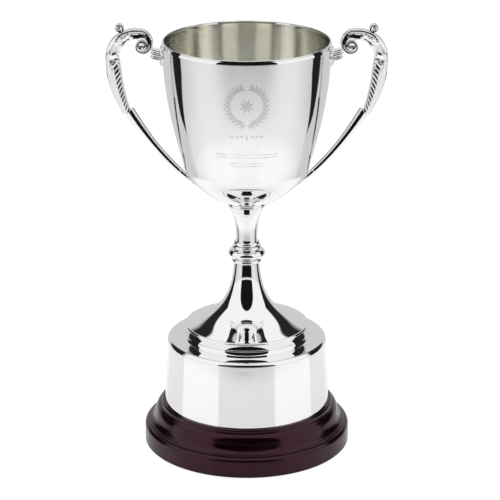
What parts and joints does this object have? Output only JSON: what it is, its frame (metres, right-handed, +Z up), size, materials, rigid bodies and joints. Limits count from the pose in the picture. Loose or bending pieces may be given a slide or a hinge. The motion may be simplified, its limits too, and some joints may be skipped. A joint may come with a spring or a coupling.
{
  "type": "cup trophy",
  "caption": "Two-handled silver-plated presentation cup with scrolled cast handles, a turned stem and flared foot, on a silver drum and moulded mahogany plinth.",
  "frame": {"origin": "middle of the underside of the felt pad, on the surface that the trophy stands on", "axes": "+Z up along the axis of the cup; +X through the right-hand handle; -Y is the engraved front"},
  "size_m": [0.1926, 0.145, 0.3048],
  "materials": {
    "silver_spun": "mirror-polished silver plate on spun brass; the inside of the bowl is satin",
    "silver_cast": "polished silver plate on a casting, with darker recesses",
    "mahogany": "turned hardwood stained dark mahogany under a gloss lacquer",
    "core_wood": "bare turned softwood",
    "brass_turned": "bare turned brass",
    "steel_zinc": "bright zinc-plated steel",
    "felt": "dark green pressed felt"
  },
  "bodies": {
    "root": {"bowl": "silver_spun", "rim_wire": "silver_spun", "bowl_boss": "brass_turned", "handle_right": "silver_cast", "handle_left": "silver_cast", "stem_collar": "silver_spun", "stem_knop": "silver_spun", "foot": "silver_spun", "foot_ring": "silver_spun", "foot_bush": "brass_turned", "foot_plate": "steel_zinc", "plinth_cap": "silver_spun", "plinth_core": "core_wood", "plinth_base": "mahogany", "base_screws": "brass_turned", "tie_rod": "steel_zinc", "rod_washer": "steel_zinc", "lock_washer": "steel_zinc", "rod_nut": "steel_zinc", "felt_pad": "felt"}
  },
  "joints": []
}
